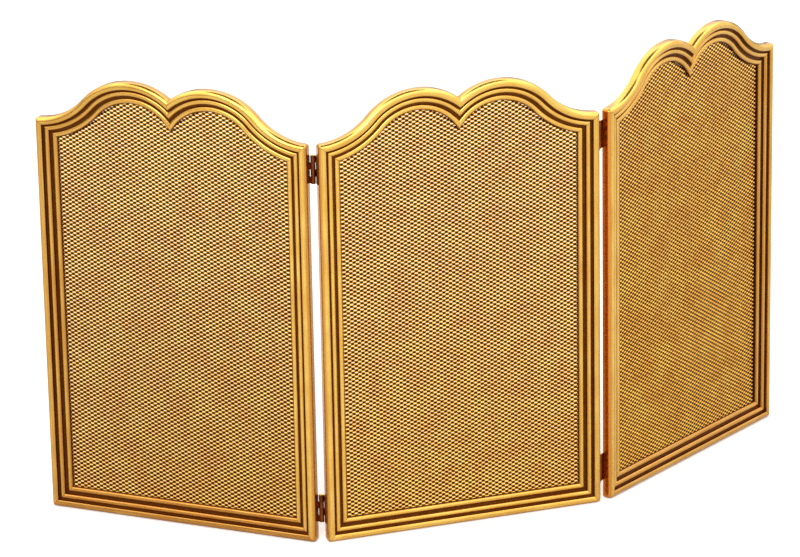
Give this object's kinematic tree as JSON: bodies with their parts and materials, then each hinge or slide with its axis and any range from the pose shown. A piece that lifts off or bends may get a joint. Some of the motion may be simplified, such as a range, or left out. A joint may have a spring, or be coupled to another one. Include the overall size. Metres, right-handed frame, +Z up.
{
  "type": "fireplace screen",
  "caption": "Folding fireplace screen of hinged panels with double-arched tops, reeded brass frames and expanded brass mesh, standing on its bottom rails.",
  "frame": {"origin": "on the floor under the middle of the centre panel's bottom rail", "axes": "+Z up; the front of the centre panel faces -Y; +X is to the right seen from the front"},
  "size_m": [1.0339, 0.2741, 0.61],
  "materials": {
    "frame_brass": "polished lacquered brass with dark brown patina in the grooves",
    "mesh_brass": "raised expanded sheet, satin antique brass",
    "strip_brass": "plain rolled strip, dulled",
    "hinge_brass": "tarnished brown antique brass",
    "screw_brass": "turned brass, lightly worn"
  },
  "bodies": {
    "centre_panel": {"centre_top_rail_left": "frame_brass", "centre_top_rail_right": "frame_brass", "centre_bottom_rail": "frame_brass", "centre_left_stile": "frame_brass", "centre_right_stile": "frame_brass", "centre_mesh": "mesh_brass", "centre_strip_top_left": "strip_brass", "centre_strip_top_right": "strip_brass", "centre_strip_bottom": "strip_brass", "centre_strip_left": "strip_brass", "centre_strip_right": "strip_brass", "centre_strip_screws": "screw_brass", "left_lower_hinge_centre_leaf": "hinge_brass", "left_lower_hinge_pin": "screw_brass", "left_upper_hinge_centre_leaf": "hinge_brass", "left_upper_hinge_pin": "screw_brass", "left_hinge_screws_centre": "screw_brass", "right_lower_hinge_centre_leaf": "hinge_brass", "right_lower_hinge_pin": "screw_brass", "right_upper_hinge_centre_leaf": "hinge_brass", "right_upper_hinge_pin": "screw_brass", "right_hinge_screws_centre": "screw_brass"},
    "left_wing": {"left_wing_top_rail_left": "frame_brass", "left_wing_top_rail_right": "frame_brass", "left_wing_bottom_rail": "frame_brass", "left_wing_left_stile": "frame_brass", "left_wing_right_stile": "frame_brass", "left_wing_mesh": "mesh_brass", "left_wing_strip_top_left": "strip_brass", "left_wing_strip_top_right": "strip_brass", "left_wing_strip_bottom": "strip_brass", "left_wing_strip_left": "strip_brass", "left_wing_strip_right": "strip_brass", "left_wing_strip_screws": "screw_brass", "left_lower_hinge_wing_leaf": "hinge_brass", "left_upper_hinge_wing_leaf": "hinge_brass", "left_hinge_screws_wing": "screw_brass"},
    "right_wing": {"right_wing_top_rail_left": "frame_brass", "right_wing_top_rail_right": "frame_brass", "right_wing_bottom_rail": "frame_brass", "right_wing_left_stile": "frame_brass", "right_wing_right_stile": "frame_brass", "right_wing_mesh": "mesh_brass", "right_wing_strip_top_left": "strip_brass", "right_wing_strip_top_right": "strip_brass", "right_wing_strip_bottom": "strip_brass", "right_wing_strip_left": "strip_brass", "right_wing_strip_right": "strip_brass", "right_wing_strip_screws": "screw_brass", "right_lower_hinge_wing_leaf": "hinge_brass", "right_upper_hinge_wing_leaf": "hinge_brass", "right_hinge_screws_wing": "screw_brass"}
  },
  "joints": [
    {"name": "left_fold", "type": "hinge", "parent": "centre_panel", "child": "left_wing", "pos_m": [-0.1978, 0.009, 0], "axis": [0, 0, -1], "range_deg": [-41.5, 138.5]},
    {"name": "right_fold", "type": "hinge", "parent": "centre_panel", "child": "right_wing", "pos_m": [0.1978, 0.009, 0], "axis": [0, 0, 1], "range_deg": [-32.5, 64.5]}
  ]
}
